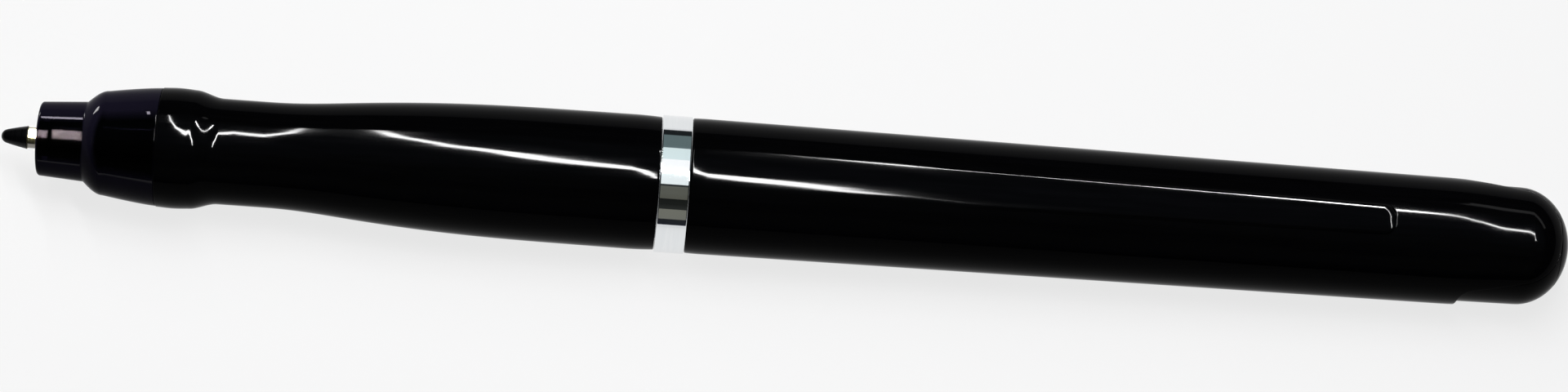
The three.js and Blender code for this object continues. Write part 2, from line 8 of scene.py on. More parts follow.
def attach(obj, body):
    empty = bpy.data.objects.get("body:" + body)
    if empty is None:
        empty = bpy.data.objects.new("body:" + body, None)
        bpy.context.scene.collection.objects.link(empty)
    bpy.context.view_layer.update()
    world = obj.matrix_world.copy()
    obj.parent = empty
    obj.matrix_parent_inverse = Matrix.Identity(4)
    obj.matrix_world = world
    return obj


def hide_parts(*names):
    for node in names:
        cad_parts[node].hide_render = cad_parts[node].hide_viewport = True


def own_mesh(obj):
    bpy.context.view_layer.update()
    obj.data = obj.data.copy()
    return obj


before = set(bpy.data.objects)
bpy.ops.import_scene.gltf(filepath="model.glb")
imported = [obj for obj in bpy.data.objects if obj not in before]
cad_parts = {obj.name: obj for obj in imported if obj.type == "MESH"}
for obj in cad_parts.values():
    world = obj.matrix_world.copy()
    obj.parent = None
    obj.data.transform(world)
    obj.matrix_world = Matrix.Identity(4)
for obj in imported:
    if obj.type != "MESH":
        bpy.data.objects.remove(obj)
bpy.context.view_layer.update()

scene = bpy.context.scene
scene.view_settings.view_transform = "Standard"

# Lengths are in mm from the writing tip and from the pen's axis, until a mesh is made.
pen = {
    "middle": 75.0,        # place of the frame's origin along the pen
    "axisHeight": 6.56,    # of the pen's axis above the table
    "outerSides": 144,     # of a turned piece that shows
    "innerSides": 96,      # of one inside
    "smallSides": 72,
    "tinySides": 48,
    "support": 0.05,       # from an edge to the row that keeps the next face flat
    "sharpAngle": 40.0,    # degrees between two faces, from which their edge stays sharp
}


def inFrame(point):
    x, y, z = point
    return Vector(((x - pen["middle"]) / 1000, y / 1000, (z + pen["axisHeight"]) / 1000))


def linear(hexColour):
    values = [int(hexColour[i:i + 2], 16) / 255 for i in (1, 3, 5)]
    return [v / 12.92 if v <= 0.04045 else ((v + 0.055) / 1.055) ** 2.4 for v in values] + [1.0]


def addNode(tree, kind, inputs, **settings):
    node = tree.nodes.new("ShaderNode" + kind)
    for name, value in settings.items():
        setattr(node, name, value)
    for name, value in inputs.items():
        if isinstance(value, bpy.types.NodeSocket):
            tree.links.new(value, node.inputs[name])
        else:
            node.inputs[name].default_value = value
    return node.outputs


def emptyTree(owner):
    owner.use_nodes = True
    owner.node_tree.nodes.clear()
    return owner.node_tree


def addObject(name, data):
    made = bpy.data.objects.new(name, data)
    scene.collection.objects.link(made)
    return made


# Materials. Object coordinates are in metres, so a pattern of scale 1000 / size has grains of size mm.
# A finish has the shader's values and patterns: gloss for the roughness, tone for the colour and skin
# for the relief, which is depth mm high. A pattern that isn't given is the gloss's.

def addPattern(tree, place, size, kind="Noise", settings={}, stretch=None, **inputs):
    if stretch:
        place = addNode(tree, "Mapping", {"Vector": place, "Scale": stretch})["Vector"]
    inputs.update({"Vector": place, "Scale": 1000 / size})
    return addNode(tree, "Tex" + kind, inputs, **settings)["Fac"]


def newLook(name, finish, least, most, first, second):
    look = bpy.data.materials.new(name)
    tree = emptyTree(look)
    place = addNode(tree, "TexCoord", {})["Object"]
    gloss = addPattern(tree, place, **finish["gloss"])
    tone = addPattern(tree, place, **finish["tone"]) if "tone" in finish else gloss
    skin = addPattern(tree, place, **finish["skin"]) if "skin" in finish else gloss
    colour = addNode(tree, "Mix", {0: tone, 6: linear(first), 7: linear(second)}, data_type="RGBA")[2]
    if "tracks" in finish:  # the colour over the skin's raised lines
        over = {0: skin, 6: colour, 7: linear(finish["tracks"])}
        colour = addNode(tree, "Mix", over, data_type="RGBA")[2]
    rough = addNode(tree, "MapRange", {"Value": gloss, "From Min": 0.3, "From Max": 0.7,
                                       "To Min": least, "To Max": most})
    links = {"Base Color": colour, "Roughness": rough["Result"]}
    if "depth" in finish:
        bump = addNode(tree, "Bump", {"Height": skin, "Distance": finish["depth"] / 1000,
                                      "Strength": finish.get("strength", 1.0)})
        links["Normal"] = bump["Normal"]
    for socket, (faced, rim, turned, away) in finish.get("rims", {}).items():
        # from faced to rim, while 1 minus the cosine of the angle to the eye goes from turned to away
        facing = addNode(tree, "LayerWeight", {"Blend": 0.5})["Facing"]
        level = addNode(tree, "MapRange", {"Value": facing, "From Min": turned, "From Max": away,
                                           "To Min": faced, "To Max": rim})
        links[socket] = level["Result"]
    shader = addNode(tree, "BsdfPrincipled", finish["shader"])["BSDF"]
    for socket, output in links.items():
        tree.links.new(output, shader.node.inputs[socket])
    ends = {"Surface": shader}
    if "dye" in finish:
        ends["Volume"] = addNode(tree, "VolumeAbsorption", finish["dye"])["Volume"]
    addNode(tree, "OutputMaterial", ends)
    return look


# Black ABS from a polished mould: a mirror gloss that wavers over slow sink waves, with faint wiping
# streaks along the pen. Less gloss where it turns away keeps its rims black against the white table.
polishedAbs = {"shader": {"IOR": 1.54}, "gloss": {"size": 0.5, "Detail": 4.0, "stretch": (0.06, 1, 1)},
               "skin": {"size": 9.0, "Detail": 0.0}, "depth": 0.004,
               "rims": {"Specular IOR Level": (0.22, 0.012, 0.13, 0.19)}}
# Violet-dyed polycarbonate that passes infrared: glossy, clear and so dark that only metal shines through.
# Its rims pass no light, where a short way through it would show the white table.
clearPolycarbonate = {"shader": {"IOR": 1.27, "Transmission Weight": 1.0},
                      "gloss": {"size": 5.0, "Detail": 1.0}, "depth": 0.004,
                      "dye": {"Color": linear("#8a7aa0"), "Density": 150.0},
                      "rims": {"Specular IOR Level": (0.5, 0.03, 0.2, 0.235),
                               "Transmission Weight": (1.0, 0.0, 0.12, 0.24)}}
# Bright chrome on turned brass: a hard mirror with hairline wiping scratches round the ring.
chromePlate = {"shader": {"Metallic": 1.0}, "depth": 0.0006,
               "gloss": {"size": 0.25, "Detail": 3.0, "stretch": (1, 0.04, 0.04)}}
# Acetal turned on a lathe: a waxy plastic with soft highlights, crossed by fine tool rings 0.12 mm apart,
# coarser than real ones so that they show. The nib's is worn dull.
turnedAcetal = {"shader": {"IOR": 1.48}, "gloss": {"size": 0.12, "Detail": 1.0, "stretch": (1, 0.01, 0.01)},
                "tone": {"size": 0.6, "Detail": 3.0}, "depth": 0.0015}
wornAcetal = {**turnedAcetal, "shader": {"IOR": 1.48, "Specular IOR Level": 0.1}}
# Glass-filled nylon from a spark-eroded mould: dull dark plastic with a pebbled skin and paler streaks.
mouldedNylon = {"shader": {"IOR": 1.53}, "gloss": {"size": 0.5, "Detail": 4.0, "stretch": (0.15, 1, 1)},
                "skin": {"size": 0.18, "Detail": 1.0}, "depth": 0.006}
# Epoxy cast in a mirror mould: a clear lens with a smoky violet dye and faint swirls.
castEpoxy = {"shader": {"IOR": 1.55, "Transmission Weight": 0.85}, "gloss": {"size": 0.8}}
# Glass laminate under green solder mask: glossy lacquer in low ridges over copper tracks 0.6 mm apart.
solderMask = {"shader": {"IOR": 1.5}, "gloss": {"size": 0.35}, "tracks": "#2f7a48", "depth": 0.02,
              "strength": 0.6, "skin": {"kind": "Brick", "size": 0.6, "Mortar Size": 0.12,
                                        "Mortar Smooth": 0.3, "Brick Width": 6.0, "Row Height": 1.0}}
# Polyimide film over copper lines: amber and translucent, the lines 0.25 mm apart along the ribbon.
filmCable = {"shader": {"IOR": 1.7},
             "gloss": {"kind": "Wave", "size": 0.25 * 6.283, "settings": {"bands_direction": "Y"}}}
# Black moulding compound or grey ferrite, with a matt, finely pitted skin.
chipCompound = {"shader": {"IOR": 1.55}, "gloss": {"size": 0.09}, "depth": 0.004}
# Moulded nitrile rubber, brick red: matt, with a bloom of paler dust.
nitrileRubber = {"shader": {"IOR": 1.52}, "gloss": {"size": 0.7, "Detail": 4.0}, "depth": 0.004}
# A cell in a heat-shrunk film sleeve: satin copper brown film with long soft wrinkles and no print.
shrinkWrap = {"shader": {"IOR": 1.5, "Metallic": 0.35}, "gloss": {"size": 2.4, "stretch": (0.15, 1, 1)},
              "depth": 0.012}


def groundMetal(ring):
    # Metal that was ground, drawn or turned: bright, with a fine grain of rings round the piece.
    return {"shader": {"Metallic": 1.0}, "gloss": {"size": ring, "Detail": 3.0, "stretch": (1, 0.02, 0.02)},
            "tone": {"size": 3.0, "Detail": 3.0}, "depth": 0.0012}


looks = {look: newLook(*row) for look, row in {  # name, finish, least and most roughness, two colours
    "abs": ("polished_black_abs", polishedAbs, 0.05, 0.085, "#010101", "#030304"),
    "polycarbonate": ("violet_polycarbonate", clearPolycarbonate, 0.02, 0.035, "#0b0a12", "#0e0c16"),
    "chrome": ("bright_chrome", chromePlate, 0.03, 0.06, "#dfe2e4", "#e9ebec"),
    "nibAcetal": ("black_acetal", wornAcetal, 0.24, 0.36, "#040405", "#080809"),
    "whiteAcetal": ("natural_acetal", turnedAcetal, 0.36, 0.48, "#d3d0c6", "#dedbd2"),
    "redAcetal": ("red_acetal", turnedAcetal, 0.36, 0.48, "#a1332a", "#b54438"),
    "tubeSteel": ("ground_stainless", groundMetal(0.08), 0.09, 0.21, "#76736e", "#85827c"),
    "springSteel": ("spring_steel_wire", groundMetal(0.15), 0.25, 0.37, "#8f9294", "#a6a8aa"),
    "linerSteel": ("rolled_nickelled_steel", groundMetal(0.3), 0.25, 0.37, "#a7a8a6", "#bbbcb9"),
    "canSteel": ("nickelled_can", groundMetal(0.2), 0.21, 0.33, "#b9bab6", "#cccdca"),
    "brass": ("turned_brass", groundMetal(0.1), 0.21, 0.33, "#a9803c", "#bd9550"),
    "aluminium": ("turned_aluminium", groundMetal(0.12), 0.25, 0.37, "#8c9093", "#a2a6a9"),
    "nylon": ("glass_filled_nylon", mouldedNylon, 0.42, 0.6, "#17181b", "#26282c"),
    "blackNylon": ("black_nylon", mouldedNylon, 0.42, 0.6, "#0c0c0e", "#17171b"),
    "epoxy": ("cast_epoxy", castEpoxy, 0.03, 0.08, "#8f86a6", "#a79fbb"),
    "laminate": ("solder_mask_laminate", solderMask, 0.28, 0.4, "#16482a", "#1d5733"),
    "film": ("polyimide_film", filmCable, 0.2, 0.35, "#8a4d16", "#c07a34"),
    "chip": ("moulding_compound", chipCompound, 0.5, 0.66, "#121315", "#1e1f22"),
    "ferrite": ("sintered_ferrite", chipCompound, 0.5, 0.66, "#2b2f31", "#3d4143"),
    "rubber": ("nitrile_rubber", nitrileRubber, 0.55, 0.75, "#6d1f18", "#8a352b"),
    "wrap": ("shrink_wrap_film", shrinkWrap, 0.22, 0.36, "#80511f", "#94622c"),
}.items()}
print("materials made:", len(looks))


# Meshes. A shape is its points, its faces and its bevelled edges with their widths.

def makePiece(name, shape, look, node, body="pen_body", steps=3):
    points, faces, bevels = shape
    mesh = bpy.data.meshes.new(name)
    mesh.from_pydata([inFrame(p) for p in points], [], faces)
    work = bmesh.new()
    work.from_mesh(mesh)
    mark = work.edges.layers.float.new("bevelWidth")
    work.verts.ensure_lookup_table()
    for a, b, width in bevels:
        work.edges.get((work.verts[a], work.verts[b]))[mark] = width
    bmesh.ops.remove_doubles(work, verts=work.verts, dist=2e-7)
    bmesh.ops.dissolve_degenerate(work, edges=work.edges, dist=1e-7)
    bmesh.ops.recalc_face_normals(work, faces=work.faces)
    for width in sorted({width for _, _, width in bevels}):
        rims = [e for e in work.edges if abs(e[mark] - width) < 1e-6]
        bmesh.ops.bevel(work, geom=rims, offset=width / 1000, segments=steps, profile=0.5,
                        affect="EDGES", clamp_overlap=True, offset_type="OFFSET")
    work.to_mesh(mesh)
    work.free()
    for face in mesh.polygons:
        face.use_smooth = True
    mesh.set_sharp_from_angle(angle=radians(pen["sharpAngle"]))
    mesh.materials.append(looks[look])
    piece = addObject(name, mesh)
    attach(piece, body)
    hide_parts(node)
    return piece


def filleted(corners, steps=6):
    # A corner is (place, radius), or (place, radius, fillet) where it is rounded.
    made = []
    for i, corner in enumerate(corners):
        if len(corner) < 3:
            made.append(tuple(corner))
            continue
        here = Vector(corner[:2])
        ways = [Vector(corners[other % len(corners)][:2]) - here for other in (i - 1, i + 1)]
        half = ways[0].angle(ways[1]) / 2
        cut = min(corner[2] / tan(half), 0.45 * ways[0].length, 0.45 * ways[1].length)
        first, last = [here + way.normalized() * cut for way in ways]
        rests = [[tuple(here + way.normalized() * (cut + pen["support"]))]
                 if way.length - cut > 4 * pen["support"] else [] for way in ways]
        made += rests[0]
        for t in [j / steps for j in range(steps + 1)]:
            shares = ((1 - t) ** 2, 2 * sin(half) * t * (1 - t), t * t)
            made.append(tuple((first * shares[0] + here * shares[1] + last * shares[2]) / sum(shares)))
        made += rests[1]
    return made


def curve(x0, r0, x1, r1, steps, way):
    # Rows after (x0, r0) up to (x1, r1); way gives the share of the rise at a share of the length.
    return [(x0 + (x1 - x0) * t / steps, r0 + (r1 - r0) * way(t / steps)) for t in range(1, steps + 1)]


def around(radius, turn):
    return radius * sin(turn), radius * cos(turn)


def roundTip(x, radius, parts):
    arc = [around(radius, t * pi / parts) for t in range(1, 13)]
    return [(x + radius - along, out) for out, along in arc]


def joinRows(faces, here, there, closed=True):
    for j in range(len(here) if closed else len(here) - 1):
        k = (j + 1) % len(here)
        loop = list(dict.fromkeys([here[j], here[k], there[k], there[j]]))
        if len(loop) > 2:
            faces.append(loop)


def turnedShape(profile, sides, y=0.0, z=0.0, change=None):
    points, faces, rows = [], [], []
    for x, r in profile:
        if r < 1e-6:  # a point on the axis
            rows.append([len(points)] * sides)
            points.append((x, y, z))
            continue
        rows.append(range(len(points), len(points) + sides))
        for j in range(sides):
            aside, up = around(change(x, r, j / sides) if change else r, 2 * pi * j / sides)
            points.append((x, y + aside, z + up))
    if profile[0][1] > 1e-6:  # a hollow piece closes on its first row
        rows.append(rows[0])
    for here, there in zip(rows, rows[1:]):
        joinRows(faces, here, there)
    return points, faces, []


def tubeShape(rings):
    faces, count = [], len(rings[0])
    for k in range(len(rings) - 1):
        joinRows(faces, range(k * count, (k + 1) * count), range((k + 1) * count, (k + 2) * count))
    points = [point for ring in rings for point in ring]
    return points, faces + [list(range(count)), list(range(len(points) - count, len(points)))], []


def turnedPiece(name, s, corners, look, node, sides="inner", y=0.0, z=0.0, change=None,
                body="pen_body"):
    # Corners are numbers or texts of them, in which a word stands for its value in s.
    made = []
    for corner in corners:
        made += [part.split() for part in corner.split(", ")] if isinstance(corner, str) else [corner]
    made = [[s[value] if value in s else float(value) for value in corner] for corner in made]
    shape = turnedShape(filleted(made), pen[sides + "Sides"], y, z, change)
    return makePiece(name, shape, look, node, body)


# Refill: a black plastic nib pressed into a metal tube

refill = {"nibLength": 2.5, "point": 0.66, "base": 1.10, "stem": 0.72, "stemEnd": 6.9, "start": 2.55,
          "neck": 1.0, "neckEnd": 4.55, "shoulderEnd": 4.85, "radius": 1.175, "bore": 0.77, "end": 67.0}


def nibCorners(s):
    point = roundTip(0, s["point"], 32)
    side = curve(*point[-1], s["nibLength"], s["base"], 16, lambda t: t ** 0.85)[:-1]
    return [(0, 0)] + point + side + ["nibLength base 0.08, nibLength stem, stemEnd stem 0.15, stemEnd 0"]


turnedPiece("nib_of_refill", refill, nibCorners(refill), "nibAcetal", "stylus_nib",
            body="refill")
turnedPiece("tube_of_refill", refill, [
    "start bore, start neck 0.06, neckEnd neck 0.2, shoulderEnd radius 0.25, end radius 0.15, end bore"],
    "tubeSteel", "refill_tube", body="refill")


# Clear nose: neck, flare and head in one moulding, with a thin spigot inside the grip

nose = {"front": 3.6, "neckEnd": 7.95, "flareEnd": 9.9, "end": 14.9, "spigotEnd": 17.7, "hole": 1.3,
        "frontRadius": 3.5, "corner": 0.3, "neckRow": 7.85, "neckRowRadius": 3.793, "neck": 3.8, "flare": 4.97,
        "head": 5.61, "chamber": 2.65, "wallEnd": 4.7, "headBore": 4.2, "spigot": 4.75, "edge": 0.05}


def noseCorners(s):
    flare = curve(s["neckEnd"], s["neck"], s["flareEnd"], s["flare"], 16, lambda t: sin(t * pi / 2))
    head = curve(s["flareEnd"], s["flare"], s["end"], s["head"], 12, lambda t: 1 - (1 - t) ** 1.3)[:-1]
    return ["front hole 0.1, front frontRadius corner, neckRow neckRowRadius, neckEnd neck"] + \
        flare + head + ["end head edge, end spigot, spigotEnd spigot 0.1, spigotEnd headBore, "
                        "flareEnd headBore 0.2, neckEnd chamber 0.2, wallEnd chamber 0.3, wallEnd hole 0.1"]


turnedPiece("clear_nose", nose, noseCorners(nose), "polycarbonate", "nose_shroud",
            "outer")


# Infrared emitters in their holder, on a round board

emitters = {"start": 8.7, "end": 13.8, "lens": 0.6, "circle": 2.35, "boardStart": 13.85, "boardEnd": 14.65,
            "board": 4.1, "bore": 1.5}
turnedPiece("round_board", emitters, [
    "boardStart bore, boardStart board 0.05, boardEnd board 0.05, boardEnd bore"],
    "laminate", "led_board")
for number in range(1, 4):
    z, y = around(emitters["circle"], pi / 2 + 2 * pi * (number - 1) / 3)
    turnedPiece("emitter_lens_" + str(number), emitters,
                [("start", 0)] + roundTip(emitters["start"], emitters["lens"], 24) +
                ["end lens 0.05, end 0"], "epoxy",
                "infrared_led_" + str(number), "tiny", y, z)
print("tip and nose made")


# Grip: bulge behind the nose, waist for the fingers, long swell to the ring

grip = {"start": 14.95, "lip": 5.66, "bulge": 5.65, "rise": 0.08, "shoulder": 18.0, "waist": 20.7,
        "waistRadius": 5.03, "waistRows": (22.1, 23.5, 24.95), "end": 62.2, "edge": 0.07,
        "socket": 4.8, "socketEnd": 17.75, "bore": 4.06, "wideFrom": 29.65, "wideAt": 41.55, "wide": 5.2,
        "crownLength": 2.6, "crownDrop": 0.09,
        "swellSlopes": [(24.95, 0.0), (27, 0.038), (29, 0.073), (31, 0.093), (33, 0.0925), (35, 0.084),
                        (37, 0.0735), (39, 0.063), (41, 0.052), (43, 0.041), (45, 0.031), (47, 0.022),
                        (49, 0.014), (52, 0.006), (59.6, 0.003)]}  # (place, rise per mm)


def gripCorners(s):
    bulge = curve(s["start"], s["bulge"], s["shoulder"], s["bulge"] + s["rise"], 12,
                  lambda t: sin(pi * t))[1:]
    bend = curve(s["shoulder"], s["bulge"], s["waist"], s["waistRadius"], 16, lambda t: t * t * (3 - 2 * t))
    swell, radius = [], s["waistRadius"]
    for (x0, slope0), (x1, slope1) in zip(s["swellSlopes"], s["swellSlopes"][1:]):
        length = x1 - x0
        swell += [(x0 + length * t, radius + length * (slope0 * t + (slope1 - slope0) * t * t / 2))
                  for t in (0.25, 0.5, 0.75, 1.0)]
        radius += length * (slope0 + slope1) / 2
    crownAt, crownEnd = swell[-1][0], radius - s["crownDrop"]
    crown = curve(crownAt, radius, crownAt + s["crownLength"], crownEnd, 12, lambda t: t * t)[:-1]
    return ["start socket, start lip edge"] + bulge + bend + \
        [(x, "waistRadius") for x in s["waistRows"]] + swell + crown + \
        [("end", crownEnd, "edge"), ("end", "wide"), ("wideAt", "wide"), ("wideFrom", "bore"),
         ("socketEnd", "bore"), ("socketEnd", "socket")]


turnedPiece("grip_shell", grip, gripCorners(grip), "abs", "grip_barrel", "outer")


# Ring between the halves

ring = {"start": 62.25, "end": 65.1, "radius": 6.56, "edge": 0.08, "bore": 5.2}
turnedPiece("chrome_ring", ring, ["start bore, start radius edge, end radius edge, end bore"],
    "chrome", "centre_ring", "outer")
print("grip and ring made")


# Rear barrel: a tapered tube with a raised flat on top and a roof over half of the end plug

rear = {"start": 65.15, "end": 139.25, "frontRadius": 6.48, "backRadius": 6.08, "bore": 5.15, "edge": 0.15,
        "roofLead": 0.95, "roofBend": 2.2, "flatStart": 74.2, "flatEnd": 132.1, "flatFront": 1.95,
        "flatBack": 1.35, "flatCorner": 1.1, "flatHeight": 6.27, "flatEdge": 0.3, "flatLead": 11.0,
        "flatRunIn": 23.0, "flatCrown": 0.8, "flatCrownRadius": 3.0, "crownLength": 1.6, "crownDrop": 0.045,
        "seamHeight": 2.3, "seamFillet": 1.6, "seamSlope": 0.156, "cavityLength": 6.4, "cavityRadius": 3.9,
        "rim": 0.07, "domeCentre": 145.15, "domeLength": 4.85, "domeRadius": 5.652, "taperEnd": 145.45,
        "flatColumns": 40, "sideColumns": 26, "lowColumns": 40, "filletRows": 12, "domeRows": 14,
        "domeRowsFrom": 145.6, "seamRows": (141.5, 0.6, 7),  # first place, step and count
        "rows": [(65.35, 0.2, 8), (67.5, 1.5, 2), (71.0, 1.5, 2), (74.5, 1.5, 7), (85.0, 0.6, 24),
                 (101.0, 2.0, 15), (130.5, 0.07, 29), (133.0, 1.5, 3), (137.0, 1.0, 2), (138.8, 0.0, 1)]}
plug = {"start": 139.3, "gap": 0.05, "frontRadius": 5.72, "edge": 0.15, "spigotStart": 131.4, "spigot": 5.1,
        "spigotEdge": 0.2, "running": 0.1, "rim": 0.05, "end": 150.0,
        "coreColumns": 14, "shelfColumns": 5, "outerColumns": 50}


def between(value, x0, x1, y0, y1):
    t = min(1.0, max(0.0, (value - x0) / (x1 - x0)))
    return y0 + (y1 - y0) * t


def domeAt(x):
    return rear["domeRadius"] * sqrt(max(0.0, 1 - ((x - rear["domeCentre"]) / rear["domeLength"]) ** 2))


def domeTurn(x):
    return asin((x - rear["domeCentre"]) / rear["domeLength"])


def roofAt(x):
    if x > rear["taperEnd"]:
        return domeAt(x)
    bendAt, reach = rear["end"] + rear["roofLead"], rear["roofBend"]
    slope = (domeAt(rear["taperEnd"]) - rear["backRadius"]) / (rear["taperEnd"] - bendAt)
    level = between(x, rear["start"] + rear["edge"], bendAt, rear["frontRadius"], rear["backRadius"])
    level -= rear["crownDrop"] * between(x, rear["start"], rear["start"] + rear["crownLength"], 1.0, 0.0) ** 2
    if x > bendAt + reach:
        return rear["backRadius"] + slope * (x - bendAt)
    if x > bendAt - reach:
        return level + slope * (x - bendAt + reach) ** 2 / (4 * reach)
    return level


def plugAt(x):
    if x > rear["domeCentre"]:
        return domeAt(x)
    return between(x, plug["start"], rear["domeCentre"], plug["frontRadius"], rear["domeRadius"])


def seamAt(x, gap=0.0):
    # The seam's height above the axis: out of the end face in a fillet, then straight along the plug.
    start, fillet = rear["end"] + gap, rear["seamFillet"]
    high = lambda place: rear["seamHeight"] + (place - rear["end"]) * rear["seamSlope"] - gap
    if x >= start + fillet:
        return high(x)
    t = sqrt(max(0.0, x - start) / fillet)
    return (1 - t) ** 2 * (high(start) - fillet) + 2 * t * (1 - t) * high(start) + t * t * high(start + fillet)


def seamRows(start, gap, radiusAt):
    low, high = rear["taperEnd"], plug["end"]
    for _ in range(40):  # finds the seam's end on the dome
        middle = (low + high) / 2
        if radiusAt(middle) > seamAt(middle, gap):
            low = middle
        else:
            high = middle
    rows = [start + rear["seamFillet"] * (k / rear["filletRows"]) ** 2
            for k in range(1, rear["filletRows"] + 1)]
    first, step, count = rear["seamRows"]
    rows += [first + step * k for k in range(count)]
    firstTurn, lastTurn = domeTurn(rear["domeRowsFrom"]), domeTurn(low)
    return rows + [rear["domeCentre"] + rear["domeLength"] *
                   sin(firstTurn + (lastTurn - firstTurn) * k / rear["domeRows"])
                   for k in range(rear["domeRows"] + 1)]


def flatShare(x, y):
    # how much of the raised flat a place has, and the flat's height there
    s = rear
    half = between(x, s["flatStart"], s["flatEnd"], s["flatFront"], s["flatBack"])
    across = x - s["flatEnd"] + s["flatCorner"]
    aside = abs(y) - half + s["flatCorner"]
    away = hypot(max(across, 0), max(aside, 0)) + min(max(across, aside), 0) - s["flatCorner"]
    t = min(1.0, max(0.0, 0.5 - away / s["flatEdge"]))
    run = between(x, s["flatStart"] + s["flatLead"], s["flatStart"] + s["flatRunIn"], 0.0, 1.0)
    height = s["flatHeight"] - max(0.0, away + s["flatCrown"]) ** 2 / (2 * s["flatCrownRadius"])
    return (1 - (1 - t) ** 2) * run * run * (3 - 2 * run), height


def addRow(points, x, half, whole=True):
    # A row of points from its half, which goes from the top down one side, and the half's mirror image.
    first = len(points)
    points += [(x, -y, z) for y, z in half[-2 if whole else -1:0:-1]] + [(x, y, z) for y, z in half]
    return range(first, len(points))


def rearShape():
    s = rear
    seamColumn = s["flatColumns"] + s["sideColumns"]
    lastColumn = seamColumn + s["lowColumns"]
    seamTurn = acos(seamAt(s["end"]) / roofAt(s["end"]))
    points, faces, outRows, inRows = [], [], [], []

    def turnsAt(x, radius):
        wide = between(x, s["flatStart"], s["flatEnd"], s["flatFront"], s["flatBack"]) + s["flatEdge"] / 2 + 0.1
        edgeTurn = asin(wide / radius)
        return [asin(wide * k / s["flatColumns"] / radius) for k in range(s["flatColumns"])] + \
            [edgeTurn + (seamTurn - edgeTurn) * k / s["sideColumns"] for k in range(s["sideColumns"])] + \
            [seamTurn + (pi - seamTurn) * k / s["lowColumns"] for k in range(s["lowColumns"] + 1)]

    shares = [turn / seamTurn for turn in turnsAt(s["end"], roofAt(s["end"]))[:seamColumn + 1]]
    rimTurn = acos(seamAt(s["end"]) / s["bore"])  # the bore's rim follows the seam too
    edge = [around(s["edge"], t * pi / 12) for t in range(7)]
    rows = [(s["start"] + s["edge"] - along, s["edge"] - out) for out, along in edge]
    rows += [(first + step * k, 0.0) for first, step, count in s["rows"] for k in range(count)]
    for x, less in rows + [(s["end"], 0.0)]:
        radius = roofAt(x) - less
        turns = turnsAt(x, radius)
        half = [around(radius, turn) for turn in turns]
        for k, (y, z) in enumerate(half[:s["flatColumns"] + 1]):
            share, height = flatShare(x, y)
            half[k] = (y, z + (height - z) * share)
        if x == s["end"]:
            turns[:seamColumn + 1] = [share * rimTurn for share in shares]
        outRows.append(addRow(points, x, half))
        inRows.append(addRow(points, x, [around(s["bore"], turn) for turn in turns]))

    middle = slice(lastColumn - 1 - seamColumn, lastColumn + seamColumn)  # the roof's columns
    outRoof, inRoof = [outRows[-1][middle]], [inRows[-1][middle]]
    cavityEnd = s["end"] + s["cavityLength"]  # behind it the roof is solid down to the seam
    places = seamRows(s["end"], 0.0, roofAt)
    rows = [(x, True) for x in places if x < cavityEnd - 0.02] + [(cavityEnd, True), (cavityEnd, False)] + \
        [(x, False) for x in places if x > cavityEnd + 0.02]
    for x, hollow in rows:
        seam, radius = seamAt(x), roofAt(x)
        cavity = between(x, s["end"], cavityEnd, s["bore"], s["cavityRadius"])
        outTurn, inTurn = acos(min(1.0, seam / radius)), acos(min(1.0, seam / cavity))
        outRoof.append(addRow(points, x, [around(radius, share * outTurn) for share in shares], False))
        inRoof.append(addRow(points, x, [around(cavity, share * inTurn) if hollow else (0.0, seam)
                                         for share in shares], False))

    for side, closed in ((outRows, True), (inRows, True), (outRoof, False), (inRoof, False)):
        for here, there in zip(side, side[1:]):
            joinRows(faces, here, there, closed)
    joinRows(faces, outRows[0], inRows[0])
    lowOut, lowIn = [[*row[lastColumn - 1 + seamColumn:], *row[:lastColumn - seamColumn]]
                     for row in (outRows[-1], inRows[-1])]
    joinRows(faces, lowOut, lowIn, False)
    bevels = [(a, b, s["rim"]) for a, b in zip(lowOut, lowOut[1:])]
    for end in (0, -1):
        line = [row[end] for row in outRoof]
        joinRows(faces, line, [row[end] for row in inRoof], False)
        bevels += [(a, b, s["rim"]) for a, b in zip(line, line[1:-2])]
    return points, faces, bevels


makePiece("rear_shell", rearShape(), "abs", "rear_barrel", body="rear_barrel")


